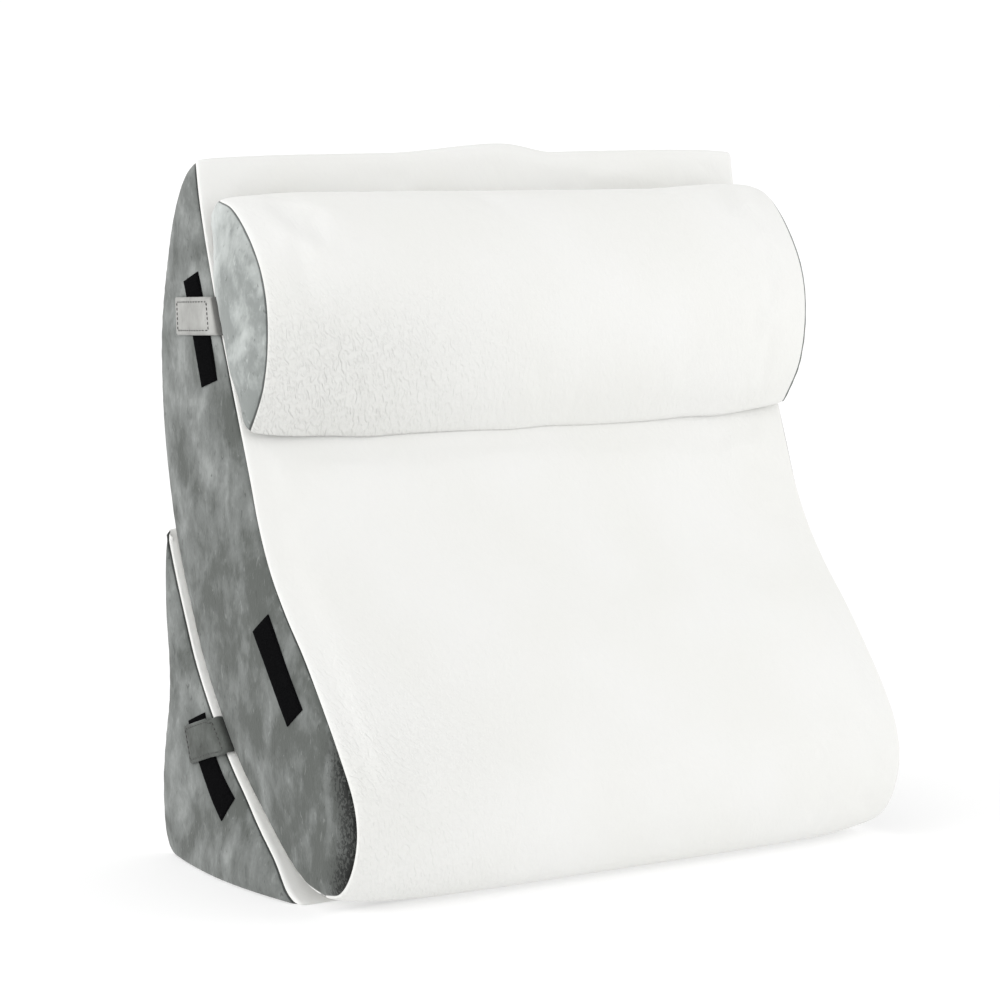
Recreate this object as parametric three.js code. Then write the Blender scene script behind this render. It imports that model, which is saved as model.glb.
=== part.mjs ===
// A three-piece wedge pillow, strapped together: a low base wedge at the back, a tall S-curved wedge
// that leans on it, and a D-shaped roll on the tall wedge's upper front. Each piece is foam in a white
// knit cover, with a grey velour panel sewn into each side, and velour straps hold the pieces together.
//
// Millimetres, +Z up, the front faces -Y. Outlines are in Y and Z, with Y = 0 above the base wedge's
// lower back corner, and the finished group is moved so that it stands centred on the origin.

import * as THREE from 'three';

// Widths, from seam to seam
const CONTOUR_WIDTH = 610;
const BASE_WIDTH = 622;
const ROLL_WIDTH = 604;

// How the covers are built
const PANEL_THICKNESS = 2.5; // velour side panel
const PANEL_GAP = 0.3;       // between a panel and the foam's end
const SEAM_INSET = 2;        // from a side seam in to the foam's end
const CONTACT_GAP = 1.5;     // between the two wedges where they lean on each other
const CROWN_POWER = 6;       // how late the crown falls towards the ends
const END_ROUND = 3;         // how far an outline draws in at a cushion's end
const END_DEPTH = 6;         // over what width it does so
const END_ROWS = 4;          // rows from a thin tip before it draws in fully
const DOME_RISE_POWER = 4;   // how soon an end bulges out, from its foot and its top
const DOME_CROSS_POWER = 2.5; // the same, from its front and its back

// How finely a cushion is lofted: columns across an end, and the places along the width by their
// distance from the end, close together where the cushion rounds off
const END_COLUMNS = 4;
const INSETS = [0, 2, 6, 30, 90];

// The tall wedge's cover swells up behind its top edge
const HUMP = { height: 8, left: -100, rise: -35, peak: 30, fall: 60, right: 88, from: 612, to: 655 };

// The tall wedge's foot is rounder at its right end, where its cover is drawn back
const TUCK = { amount: 8, start: 0.7, from: 100, to: 160, behind: -276, depth: 100 };

// The roll sits a little lower at its right end, slid along the wedge behind it. The direction is
// down that wedge's front.
const ROLL_SLIP = { amount: 5, y: -0.37, z: -0.93 };

// The base wedge spreads a little at the middle of each side, near the floor
const SPREAD = { amount: 13, height: 90, depth: 247 };

// Trim. A gap is the distance to what lies below, and a strap feels for that at these shares of its
// half width.
const PATCH = { thickness: 1.5, gap: 0.5, across: 2, along: 7 };
const STRAP = { thickness: 2, gap: 0.5, step: 7, feel: [-1.1, -0.75, -0.4, 0, 0.4, 0.75, 1.1] };

// Moves the group so that its box is centred on Y
const ORIGIN_Y = -154.91;

const WHITE = new THREE.Color('#f2f3f0');
const GREY = new THREE.Color('#989b98');
const LIGHT_GREY = new THREE.Color('#aaafae');
const STRAP_GREY = new THREE.Color('#a3a4a0');
const BLACK = new THREE.Color('#101211');

const fabric = (name, color, roughness) =>
  new THREE.MeshStandardMaterial({ name, color, roughness, metalness: 0 });

const knit = fabric('cover_knit', WHITE, 0.9);
const velour = fabric('side_velour', GREY, 0.85);
const paleVelour = fabric('roll_velour', LIGHT_GREY, 0.85);
const strapVelour = fabric('strap_velour', STRAP_GREY, 0.85);
const loopTape = fabric('loop_tape', BLACK, 0.95);

// Outline tables. Each row is a point of the side seam, and how far the middle of the cushion
// stands out from it there.
const outline = (rows) => rows.map(([y, z, crown]) => ({ y, z, crown }));

// The tall wedge, from its rounded foot to its top edge
const CONTOUR_FRONT = outline([
  //  y    z   crown
  [-276,  16, 16],
  [-300,  21, 14],
  [-318,  36, 10],
  [-330,  58, 8],
  [-334,  84, 5],
  [-327, 112, 5],
  [-306, 144, 5],
  [-278, 181, 5],
  [-245, 221, 5],
  [-212, 256, 5],
  [-184, 292, 5],
  [-164, 328, 5],
  [-148, 369, 5],
  [-134, 406, 4],
  [-120, 441, 4],
  [-106, 476, 4],
  [ -92, 511, 4],
  [ -78, 551, 4],
  [ -65, 590, 4],
  [ -55, 626, 4],
  [ -50, 655, 6],
]);

const CONTOUR_BACK = outline([
  //  y    z   crown
  [-276,  16, 16],
  [-242,  21, 10],
  [-205,  39, 0],
  [-161,  72, 0],
  [-120, 107, 0],
  [ -83, 150, 0],
  [ -53, 192, 0],
  [ -31, 235, 0],
  [ -13, 273, 0],
  [   1, 311, 0],
  [  10, 345, 3],
  [  18, 383, 4],
  [  23, 420, 4],
  [  25, 455, 4],
  [  25, 488, 4],
  [  20, 524, 4],
  [  11, 561, 4],
  [   1, 594, 4],
  [ -12, 621, 4],
  [ -29, 642, 4],
  [ -50, 655, 6],
]);

// The base wedge, from its front tip to its top edge. Between these, its front lies along the tall
// wedge's back, from the lowest height to the highest.
const BASE_TIP = outline([
  //  y    z   crown
  [-247,   0, 0],
  [-226,  12, 0],
]);
const BASE_TOP = outline([[5, 313, 0]]);
const CONTACT = { lowest: 30, highest: 300 };

const BASE_BACK = outline([
  //  y    z   crown
  [-247,   0, 0],
  [-190,   0, 0],
  [-130,   0, 0],
  [ -70,   0, 0],
  [ -20,   0, 0],
  [   2,   2, 1],
  [  14,  14, 2],
  [  19,  35, 3],
  [  20,  72, 3],
  [  14, 110, 3],
  [   5, 148, 3],
  [   4, 186, 3],
  [   8, 225, 2],
  [   8, 265, 1],
  [   5, 313, 0],
]);

// The roll, from its lower edge to its upper edge, lying on the tall wedge's front
const ROLL_FRONT = outline([
  //  y    z   crown
  [-148, 413, 9],
  [-158, 430, 9],
  [-168, 453, 9],
  [-175, 480, 9],
  [-177, 508, 9],
  [-174, 535, 9],
  [-165, 560, 9],
  [-150, 582, 9],
  [-131, 601, 9],
  [-110, 615, 8],
  [ -86, 621, 8],
]);

const ROLL_BACK = outline([
  //  y    z   crown
  [-148, 413, 9],
  [-131, 423, -4],
  [-123, 444, -4],
  [-114, 467, -4],
  [-106, 490, -2],
  [ -97, 513, -1],
  [ -88, 538, -1],
  [ -81, 561, 0],
  [ -75, 583, 2],
  [ -72, 604, 4],
  [ -86, 621, 8],
]);

// Rectangles of loop tape, by the middle of their two short edges, on a cushion's side
const CONTOUR_UPPER_TAPE = { from: [-47, 549], to: [-82, 453], width: 29 };
const CONTOUR_LOWER_TAPE = { from: [-174, 245], to: [-235, 168], width: 30 };
const BASE_TAPE = { from: [-63, 141], to: [-114, 64], width: 28 };

// Straps, by the middle of their two short edges. Each first comes out of a seam and turns a corner:
// x is a distance from the pillow's middle, and the strap's two edges there are places in Y and Z.
const ROLL_STRAP = {
  from: [-88, 515],
  to: [-22, 511],
  width: 35,
  start: 10,
  seam: [
    { x: 291, lower: [-101, 498], upper: [-88, 532] },
    { x: 303, lower: [-101, 498], upper: [-88, 532] },
    { x: 307.6, lower: [-99, 498], upper: [-86, 532] },
  ],
};
const CONTOUR_STRAP = {
  from: [-98, 131],
  to: [-47, 113.5],
  width: 36,
  start: 14,
  seam: [
    { x: 304.5, lower: [-110.6, 116.6], upper: [-86.6, 145.5] },
    { x: 309.5, lower: [-110.6, 116.6], upper: [-86.6, 145.5] },
    { x: 314.5, lower: [-107.2, 113.8], upper: [-83.2, 142.7] },
  ],
};

// Small helpers
const smooth = (value) => {
  const t = Math.min(Math.max(value, 0), 1);
  return t * t * (3 - 2 * t);
};

// Collects triangles of one closed body, and gives each place one shared vertex
class Body {
  constructor() {
    this.positions = [];
    this.indices = [];
    this.known = new Map();
  }

  vertex([x, y, z]) {
    const key = [x, y, z].map((value) => Math.round(value * 1000)).join();
    if (!this.known.has(key)) {
      this.known.set(key, this.positions.length / 3);
      this.positions.push(x, y, z);
    }
    return this.known.get(key);
  }

  triangle(a, b, c) {
    const [i, j, k] = [a, b, c].map((point) => this.vertex(point));
    if (i !== j && j !== k && k !== i) this.indices.push(i, j, k);
  }

  quad(a, b, c, d) {
    this.triangle(a, b, c);
    this.triangle(a, c, d);
  }

  // A grid of points, rows of columns, facing the side that its row and column directions give
  sheet(grid, flipped) {
    for (let row = 0; row + 1 < grid.length; row += 1) {
      for (let column = 0; column + 1 < grid[row].length; column += 1) {
        const [a, b] = [grid[row][column], grid[row][column + 1]];
        const [d, c] = [grid[row + 1][column], grid[row + 1][column + 1]];
        if (flipped) this.quad(a, d, c, b);
        else this.quad(a, b, c, d);
      }
    }
  }

  geometry() {
    const geometry = new THREE.BufferGeometry();
    geometry.setAttribute('position', new THREE.Float32BufferAttribute(this.positions, 3));
    geometry.setIndex(this.indices);
    geometry.computeVertexNormals();
    return geometry;
  }
}

// The border of a grid, once round
const borderOf = (grid) => [
  ...grid[0],
  ...grid.slice(1).map((row) => row[row.length - 1]),
  ...grid[grid.length - 1].slice(0, -1).reverse(),
  ...grid.slice(0, -1).reverse().map((row) => row[0]).slice(0, -1),
];

// A thin solid between two grids of the same size. The outer one faces left or right.
function layer(inner, outer, side) {
  const body = new Body();
  body.sheet(outer, side < 0);
  body.sheet(inner, side > 0);
  const [low, high] = [borderOf(inner), borderOf(outer)];
  low.forEach((point, i) => {
    const next = (i + 1) % low.length;
    const rim = [point, low[next], high[next], high[i]];
    if (side < 0) rim.reverse();
    body.quad(...rim);
  });
  return body.geometry();
}

// One cushion: foam in its cover, lofted from side to side through its outline
class Cushion {
  constructor({ name, width, front, back, rows, dome, stations = [0], adjust }) {
    Object.assign(this, { name, rows, dome, adjust });
    this.half = width / 2 - SEAM_INSET;
    const right = INSETS.map((inset) => this.half - inset);
    this.stations = [...right.map((x) => -x), ...stations, ...right].sort((a, b) => a - b);
    const sample = (points) => new THREE.CatmullRomCurve3(
      points.map(({ y, z, crown }) => new THREE.Vector3(y, z, crown)), false, 'catmullrom', 0.5,
    ).getPoints(rows);
    const [up, down] = [sample(front), sample(back).reverse()];
    this.loop = [...up, ...down.slice(1, -1)];
  }

  // The outward direction of the outline at one of its points
  normal(i) {
    const count = this.loop.length;
    const before = this.loop[(i + count - 1) % count];
    const after = this.loop[(i + 1) % count];
    return new THREE.Vector2(before.y - after.y, after.x - before.x).normalize();
  }

  // The outline at one place along the width
  ring(x) {
    const crownShare = 1 - Math.abs(x / this.half) ** CROWN_POWER;
    const nearEnd = Math.max(0, 1 - (this.half - Math.abs(x)) / END_DEPTH);
    return this.loop.map((point, i) => {
      const row = i <= this.rows ? i : 2 * this.rows - i;
      const fromTip = Math.min(row, this.rows - row, END_ROWS) / END_ROWS;
      const drawnIn = END_ROUND * fromTip * nearEnd ** 2;
      const out = this.normal(i).multiplyScalar(point.z * crownShare - drawnIn);
      const place = { x, y: point.x + out.x, z: point.y + out.y };
      if (this.adjust) this.adjust(place, x / this.half);
      return [place.x, place.y, Math.max(place.z, 0)];
    });
  }

  // The domed end, as a grid from foot to top and from front to back, moved outwards by a distance
  end(side, outwards = 0) {
    const ring = this.ring(side * this.half);
    const grid = [];
    for (let row = 0; row <= this.rows; row += 1) {
      const front = ring[row];
      const back = ring[(2 * this.rows - row) % ring.length];
      const rise = 1 - Math.abs(2 * row / this.rows - 1) ** DOME_RISE_POWER;
      grid.push(Array.from({ length: END_COLUMNS + 1 }, (_, column) => {
        const across = column / END_COLUMNS;
        const bulge = this.dome * rise * (1 - Math.abs(2 * across - 1) ** DOME_CROSS_POWER);
        const [x, y, z] = front.map((value, axis) => THREE.MathUtils.lerp(value, back[axis], across));
        return [x + side * (bulge + outwards), y, z];
      }));
    }
    return grid;
  }

  foam() {
    const body = new Body();
    const rings = this.stations.map((x) => this.ring(x));
    for (let i = 0; i + 1 < rings.length; i += 1) {
      rings[i].forEach((point, j) => {
        const next = (j + 1) % rings[i].length;
        body.quad(point, rings[i + 1][j], rings[i + 1][next], rings[i][next]);
      });
    }
    body.sheet(this.end(-1), true);
    body.sheet(this.end(1), false);
    return body.geometry();
  }

  panel(side) {
    return layer(this.end(side, PANEL_GAP), this.end(side, PANEL_GAP + PANEL_THICKNESS), side);
  }
}

// Slow to rise on the left, quick to fall on the right
function humpShare(x) {
  if (x < HUMP.peak) return smooth((x - HUMP.left) / (HUMP.peak - HUMP.left));
  return smooth((HUMP.right - x) / (HUMP.right - HUMP.peak));
}

function shapeContour(place, share) {
  const nearTop = smooth((place.z - HUMP.from) / (HUMP.to - HUMP.from));
  place.z += HUMP.height * humpShare(place.x) * nearTop;
  const nearFoot = 1 - smooth((place.z - TUCK.from) / (TUCK.to - TUCK.from));
  const inFront = smooth((TUCK.behind - place.y) / TUCK.depth);
  const nearEnd = smooth((share - TUCK.start) / (1 - TUCK.start));
  place.y += TUCK.amount * nearEnd * nearFoot * inFront;
}

function slipRoll(place, share) {
  const amount = ROLL_SLIP.amount * (share + 1) / 2;
  place.y += ROLL_SLIP.y * amount;
  place.z += ROLL_SLIP.z * amount;
}

function spreadBase(place, share) {
  const low = 1 - smooth(place.z / SPREAD.height);
  const middle = Math.sin(Math.PI * Math.min(Math.max(-place.y / SPREAD.depth, 0), 1));
  place.x += Math.sign(share) * share ** 4 * SPREAD.amount * low * middle;
}

const contour = new Cushion({
  name: 'contour',
  width: CONTOUR_WIDTH,
  front: CONTOUR_FRONT,
  back: CONTOUR_BACK,
  rows: 30,
  dome: 5,
  stations: [HUMP.left, HUMP.rise, 0, HUMP.peak, HUMP.fall, HUMP.right],
  adjust: shapeContour,
});

// The stretch of the tall wedge's back that the base carries, moved off it by the gap
const carried = CONTOUR_BACK.flatMap(({ y, z }, i) => {
  if (z < CONTACT.lowest || z > CONTACT.highest) return [];
  const [before, after] = [CONTOUR_BACK[i - 1], CONTOUR_BACK[i + 1]];
  const away = new THREE.Vector2(after.z - before.z, before.y - after.y).setLength(CONTACT_GAP);
  return [{ y: y + away.x, z: z + away.y, crown: 0 }];
});

const base = new Cushion({
  name: 'base',
  width: BASE_WIDTH,
  front: [...BASE_TIP, ...carried, ...BASE_TOP],
  back: BASE_BACK,
  rows: 22,
  dome: 5,
  adjust: spreadBase,
});

const roll = new Cushion({
  name: 'roll',
  width: ROLL_WIDTH,
  front: ROLL_FRONT,
  back: ROLL_BACK,
  rows: 20,
  dome: 7,
  adjust: slipRoll,
});

// The group, and a way to add a named mesh to it
const part = new THREE.Group();
part.name = 'wedge_pillow';

function add(name, geometry, material) {
  const mesh = new THREE.Mesh(geometry, material);
  mesh.name = name;
  part.add(mesh);
  return mesh;
}

const SIDES = [{ side: -1, word: 'left' }, { side: 1, word: 'right' }];

const panels = {};
for (const [cushion, material] of [[base, velour], [contour, velour], [roll, paleVelour]]) {
  add(`${cushion.name}_cushion`, cushion.foam(), knit);
  for (const { side, word } of SIDES) {
    const name = `${cushion.name}_side_${word}`;
    panels[name] = add(name, cushion.panel(side), material);
  }
}

// How far out the given meshes reach at a place on the side, or null beside them
const caster = new THREE.Raycaster();
const FAR_OUT = 1000;

function reachAt(meshes, side, y, z) {
  caster.set(new THREE.Vector3(side * FAR_OUT, y, z), new THREE.Vector3(-side, 0, 0));
  const hits = caster.intersectObjects(meshes);
  return hits.length ? FAR_OUT - hits[0].distance : null;
}

// A strip's own directions on the side: along it, and across it
function directions({ from, to }) {
  const along = new THREE.Vector2(to[0] - from[0], to[1] - from[1]);
  const length = along.length();
  along.normalize();
  return { along, length, across: new THREE.Vector2(-along.y, along.x) };
}

// A rectangle of loop tape that lies on a side panel
function tape(strip, panel, side) {
  const { along, length, across } = directions(strip);
  const grid = (outwards) => Array.from({ length: PATCH.across + 1 }, (_, i) => {
    const w = (i / PATCH.across - 0.5) * strip.width;
    return Array.from({ length: PATCH.along + 1 }, (__, j) => {
      const l = length * j / PATCH.along;
      const y = strip.from[0] + along.x * l + across.x * w;
      const z = strip.from[1] + along.y * l + across.y * w;
      return [side * (reachAt([panel], side, y, z) + outwards), y, z];
    });
  });
  return layer(grid(PATCH.gap), grid(PATCH.gap + PATCH.thickness), side);
}

// A strap that comes out of a seam, turns the corner and lies along a side over what is there
function strap(strip, under, side) {
  const { along, length, across } = directions(strip);
  const halfWidth = strip.width / 2;
  const pointAt = (l, w) => [
    strip.from[0] + along.x * l + across.x * w,
    strip.from[1] + along.y * l + across.y * w,
  ];
  const places = [...strip.seam];
  const steps = Math.round((length - strip.start) / STRAP.step);
  for (let i = 0; i <= steps; i += 1) {
    const l = strip.start + (length - strip.start) * i / steps;
    const reaches = STRAP.feel.flatMap((share) => [-1, 0, 1].map((shift) => reachAt(
      under, side, ...pointAt(l + shift * STRAP.step, share * halfWidth),
    )));
    const x = Math.max(...reaches) + STRAP.gap + STRAP.thickness / 2;
    places.push({ x, lower: pointAt(l, -halfWidth), upper: pointAt(l, halfWidth) });
  }
  const edges = ['lower', 'upper'].map((edge) => places.map(
    (place) => new THREE.Vector3(side * place.x, ...place[edge]),
  ));
  const face = (share) => edges.map((edge) => edge.map((point, i) => {
    const ahead = edge[Math.min(i + 1, edge.length - 1)];
    const behind = edge[Math.max(i - 1, 0)];
    const wide = edges[1][i].clone().sub(edges[0][i]);
    const out = ahead.clone().sub(behind).cross(wide).setLength(side * share * STRAP.thickness);
    return point.clone().add(out).toArray();
  }));
  return layer(face(-0.5), face(0.5), side);
}

for (const { side, word } of SIDES) {
  const contourSide = panels[`contour_side_${word}`];
  const baseSide = panels[`base_side_${word}`];
  const tapes = {};
  for (const [name, strip, panel] of [
    ['contour_tape_upper', CONTOUR_UPPER_TAPE, contourSide],
    ['contour_tape_lower', CONTOUR_LOWER_TAPE, contourSide],
    ['base_tape', BASE_TAPE, baseSide],
  ]) {
    tapes[name] = add(`${name}_${word}`, tape(strip, panel, side), loopTape);
  }
  const rollStrap = strap(ROLL_STRAP, [contourSide, tapes.contour_tape_upper], side);
  add(`roll_strap_${word}`, rollStrap, strapVelour);
  const contourStrap = strap(CONTOUR_STRAP, [baseSide, tapes.base_tape], side);
  add(`contour_strap_${word}`, contourStrap, strapVelour);
}

part.position.y = -ORIGIN_Y;
part.updateMatrixWorld(true);

export default part;
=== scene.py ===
# %% [markdown]
# This lesson dresses a wedge pillow that is sold as a set of three: a low base wedge, a tall S-curved
# wedge that leans on it, and a D-shaped roll on the tall wedge's upper front. Each is a foam block in
# a white crinkled knit cover with a grey velour panel sewn into each side, and folded velour straps
# hold the three together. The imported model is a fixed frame. Everything here is built round it, in
# metres, at its real size.

# %% Load the frame
import math

import bpy
import numpy as np
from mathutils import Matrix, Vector, noise
from mathutils.bvhtree import BVHTree


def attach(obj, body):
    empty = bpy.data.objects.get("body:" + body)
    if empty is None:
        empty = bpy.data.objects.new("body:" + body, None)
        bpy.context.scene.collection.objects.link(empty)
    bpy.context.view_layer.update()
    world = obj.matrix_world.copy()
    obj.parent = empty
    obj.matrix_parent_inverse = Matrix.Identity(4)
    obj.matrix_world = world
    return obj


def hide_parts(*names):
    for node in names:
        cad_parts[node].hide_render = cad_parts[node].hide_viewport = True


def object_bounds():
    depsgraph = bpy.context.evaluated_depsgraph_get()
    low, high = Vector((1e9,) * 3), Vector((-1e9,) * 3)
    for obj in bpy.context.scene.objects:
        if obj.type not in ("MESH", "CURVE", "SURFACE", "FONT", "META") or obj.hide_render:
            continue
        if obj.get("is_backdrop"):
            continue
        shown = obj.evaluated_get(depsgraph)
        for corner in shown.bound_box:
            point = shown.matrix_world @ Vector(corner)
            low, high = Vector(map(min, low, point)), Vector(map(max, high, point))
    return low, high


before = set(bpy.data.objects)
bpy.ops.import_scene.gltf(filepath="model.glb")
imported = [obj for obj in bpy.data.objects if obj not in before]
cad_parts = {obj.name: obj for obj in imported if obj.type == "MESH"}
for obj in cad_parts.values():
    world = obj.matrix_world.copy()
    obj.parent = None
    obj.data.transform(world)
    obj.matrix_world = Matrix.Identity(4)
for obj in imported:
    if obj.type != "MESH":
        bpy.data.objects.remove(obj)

cad_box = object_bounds()
BODY = "root"
print("nodes:", len(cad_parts), "box:", [[round(c, 3) for c in corner] for corner in cad_box])

# %% [markdown]
# The photo was taken from the front left, from just above the roll, with a long lens, so that the
# far side is hardly smaller than the near one. The place, turn and lens were worked out by matching
# the side outlines and the seam to seam width, and they are kept as plain numbers.

# %% Camera
CAMERA_PLACE = (-1.75214, -2.63272, 0.72784)
CAMERA_TURN = -33.0
CAMERA_DIP = 7.12
LENS_MM = 121.24
SENSOR_MM = 36

scene = bpy.context.scene
camera = bpy.data.objects.new("camera", bpy.data.cameras.new("camera"))
camera.data.lens = LENS_MM
camera.data.sensor_width = SENSOR_MM
camera.location = CAMERA_PLACE
camera.rotation_euler = (math.radians(90 - CAMERA_DIP), 0, math.radians(CAMERA_TURN))
scene.collection.objects.link(camera)
scene.camera = camera
print("camera at", [round(c, 2) for c in camera.location])

# %% [markdown]
# A wedge's cover is sewn from a long strip, which runs round the foam, and two side panels. So its
# shape is an outline that is swept from side to side. An outline here is a short table of places on
# the side seam, with how far the cover crowns out from it at mid width. The places
# are joined by a Catmull-Rom curve, because it passes through each of them without a kink.

# %% Outlines
FRAME_SHIFT = 0.15491  # from the base wedge's lower back corner to the middle of the whole pillow
CURVE_STEPS = 12       # steps from one place in a table to the next


def outline(*rows):
    """Places on a side seam, with the columns y, z and crown, given in millimetres"""
    table = np.array(rows, float) / 1000
    table[:, 0] += FRAME_SHIFT
    return table


def walked_along(line):
    """How far it is along a line to each of its places"""
    return np.concatenate([[0], np.cumsum(np.linalg.norm(np.diff(line, axis=0), axis=1))])


def evenly(line, steps):
    """The same line with its places spaced evenly along it"""
    walked = walked_along(line[:, :2])
    wanted = np.linspace(0, walked[-1], steps + 1)
    return np.column_stack([np.interp(wanted, walked, column) for column in line.T])


def smooth_curve(places):
    """A smooth line through all the places"""
    padded = np.vstack([2 * places[0] - places[1], places, 2 * places[-1] - places[-2]])
    t = np.linspace(0, 1, CURVE_STEPS, endpoint=False)[:, None]
    line = []
    for before, start, end, after in zip(padded, padded[1:], padded[2:], padded[3:]):
        square = 2 * before - 5 * start + 4 * end - after
        cube = 3 * start - before - 3 * end + after
        line.append(start + (end - before) * t / 2 + square * t**2 / 2 + cube * t**3 / 2)
    return np.vstack([*line, places[-1:]])


def smooth(value, low=0.0, high=1.0):
    """A soft step, from 0 at low to 1 at high"""
    t = np.clip((value - low) / (high - low), 0, 1)
    return t * t * (3 - 2 * t)


# %% The tall wedge's outline, from its rounded foot to its top edge
CONTOUR_FRONT = outline(
    (-276, 16, 16), (-300, 21, 14), (-318, 36, 10), (-330, 58, 8), (-334, 84, 5),
    (-327, 112, 5), (-306, 144, 5), (-278, 181, 5), (-245, 221, 5), (-212, 256, 5),
    (-184, 292, 5), (-164, 328, 5), (-148, 369, 5), (-134, 406, 4), (-120, 441, 4),
    (-106, 476, 4), (-92, 511, 4), (-78, 551, 4), (-65, 590, 4), (-55, 626, 4),
    (-50, 655, 6),
)
CONTOUR_BACK = outline(
    (-276, 16, 16), (-242, 21, 10), (-205, 39, 0), (-161, 72, 0), (-120, 107, 0),
    (-83, 150, 0), (-53, 192, 0), (-31, 235, 0), (-13, 273, 0), (1, 311, 0),
    (10, 345, 3), (18, 383, 4), (23, 420, 4), (25, 455, 4), (25, 488, 4),
    (20, 524, 4), (11, 561, 4), (1, 594, 4), (-12, 621, 4), (-29, 642, 4),
    (-50, 655, 6),
)
print("tall wedge:", len(CONTOUR_FRONT), "places in front,", len(CONTOUR_BACK), "behind")

# %% The base wedge's outline. Its front lies along the tall wedge's back, a small gap off it.
CONTACT_GAP = 0.0015
CONTACT_HEIGHTS = (0.030, 0.300)

along = CONTOUR_BACK[2:] - CONTOUR_BACK[:-2]
off = np.column_stack([along[:, 1], -along[:, 0]])
off *= CONTACT_GAP / np.linalg.norm(off, axis=1)[:, None]
carried = CONTOUR_BACK[1:-1].copy()
carried[:, :2] += off
carried[:, 2] = 0
heights = CONTOUR_BACK[1:-1, 1]
carried = carried[(heights > CONTACT_HEIGHTS[0]) & (heights < CONTACT_HEIGHTS[1])]

BASE_TIP = outline((-247, 0, 0), (-226, 12, 0))
BASE_TOP = outline((5, 313, 0))
BASE_FRONT = np.vstack([BASE_TIP, carried, BASE_TOP])
BASE_BACK = outline(
    (-247, 0, 0), (-190, 0, 0), (-130, 0, 0), (-70, 0, 0), (-20, 0, 0),
    (2, 2, 1), (14, 14, 2), (19, 35, 3), (20, 72, 3), (14, 110, 3),
    (5, 148, 3), (4, 186, 3), (8, 225, 2), (8, 265, 1), (5, 313, 0),
)
print("base wedge:", len(carried), "places carried over from the tall wedge's back")

# %% The roll's outline, from its lower edge to its upper edge
ROLL_FRONT = outline(
    (-148, 413, 9), (-158, 430, 9), (-168, 453, 9), (-175, 480, 9), (-177, 508, 9),
    (-174, 535, 9), (-165, 560, 9), (-150, 582, 9), (-131, 601, 9), (-110, 615, 8),
    (-86, 621, 8),
)
ROLL_BACK = outline(
    (-148, 413, 9), (-131, 423, -4), (-123, 444, -4), (-114, 467, -4), (-106, 490, -2),
    (-97, 513, -1), (-88, 538, -1), (-81, 561, 0), (-75, 583, 2), (-72, 604, 4),
    (-86, 621, 8),
)
print("roll:", len(ROLL_FRONT), "places in front,", len(ROLL_BACK), "behind")

# %% [markdown]
# Soft things are never quite even. The tall wedge's cover swells up behind its top edge, its foot is
# drawn back at the right end, the roll has slipped down a little at the right, and the base wedge
# spreads near the floor under the load. Each of these is a small bend of the swept shape, which the
# frame's solids have too, so the dressed pieces have to repeat them. The smaller bends are only here:
# the roll's sagging lower edge and its puffed right end, and the corners of the tall wedge's foot.

# %% How each cushion has settled
HUMP = {"height": 0.008, "left": (-0.100, 0.030), "right": (0.088, 0.030), "top": (0.612, 0.655)}
LIFT = {"height": 0.002, "top": (0.600, 0.650)}
FOOT_SAG = {"depth": 0.0045, "height": 0.060}
TUCK = {"amount": 0.008, "end": (0.7, 1), "foot": (0.100, 0.160), "behind": -0.276, "depth": 0.100}
ROLL_SLIP = {"amount": 0.005, "y": -0.37, "z": -0.93}
ROLL_PUFF = {"height": 0.006, "end": (0.55, 1), "top": (0.560, 0.620)}
ROLL_FOOT = {
    "in": (0.006, 0.006),       # at the ends, and how much more in the middle
    "down": (0.0012, 0.004),
    "z": 0.413, "height": 0.045, "behind": -0.125, "depth": 0.020,
}
ROLL_END = {"out": 0.006, "low": 0.425, "high": 0.585, "fade": 0.045, "front": -0.160, "depth": 0.050}
SPREAD = {"amount": 0.013, "height": 0.090, "depth": 0.247}
SAG_POWER, END_POWER, SPREAD_POWER = 6, 8, 4   # how late these come towards the ends


def settle_contour(places, share):
    x, y, z = places.T
    hump = np.where(x < HUMP["left"][1], smooth(x, *HUMP["left"]), smooth(x, *HUMP["right"]))
    z += HUMP["height"] * hump * smooth(z, *HUMP["top"])
    z += LIFT["height"] * smooth(z, *LIFT["top"])
    z -= FOOT_SAG["depth"] * abs(share) ** SAG_POWER * (1 - smooth(z / FOOT_SAG["height"]))
    near_foot = 1 - smooth(z, *TUCK["foot"])
    in_front = smooth((TUCK["behind"] + FRAME_SHIFT - y) / TUCK["depth"])
    y += TUCK["amount"] * smooth(share, *TUCK["end"]) * near_foot * in_front


def settle_roll(places, share):
    x, y, z = places.T
    low = 1 - smooth((z - ROLL_FOOT["z"]) / ROLL_FOOT["height"])
    in_front = smooth((ROLL_FOOT["behind"] + FRAME_SHIFT - y) / ROLL_FOOT["depth"])
    rear = smooth((y - FRAME_SHIFT - ROLL_END["front"]) / ROLL_END["depth"])
    above, under = z - ROLL_END["low"], ROLL_END["high"] - z
    between = smooth(above / ROLL_END["fade"]) * smooth(under / ROLL_END["fade"])
    high = smooth(z, *ROLL_PUFF["top"])
    pressed, dropped = [ends + more * (1 - share**2) for ends, more in (ROLL_FOOT["in"], ROLL_FOOT["down"])]
    y += pressed * low * in_front
    z -= dropped * low * in_front
    x += np.sign(share) * share**END_POWER * ROLL_END["out"] * rear * between
    z += ROLL_PUFF["height"] * high * smooth(share, *ROLL_PUFF["end"])
    slipped = ROLL_SLIP["amount"] * (share + 1) / 2
    y += ROLL_SLIP["y"] * slipped
    z += ROLL_SLIP["z"] * slipped


def settle_base(places, share):
    x, y, z = places.T
    low = 1 - smooth(z / SPREAD["height"])
    middle = np.sin(np.pi * np.clip((FRAME_SHIFT - y) / SPREAD["depth"], 0, 1))
    x += np.sign(share) * share**SPREAD_POWER * SPREAD["amount"] * low * middle


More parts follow.
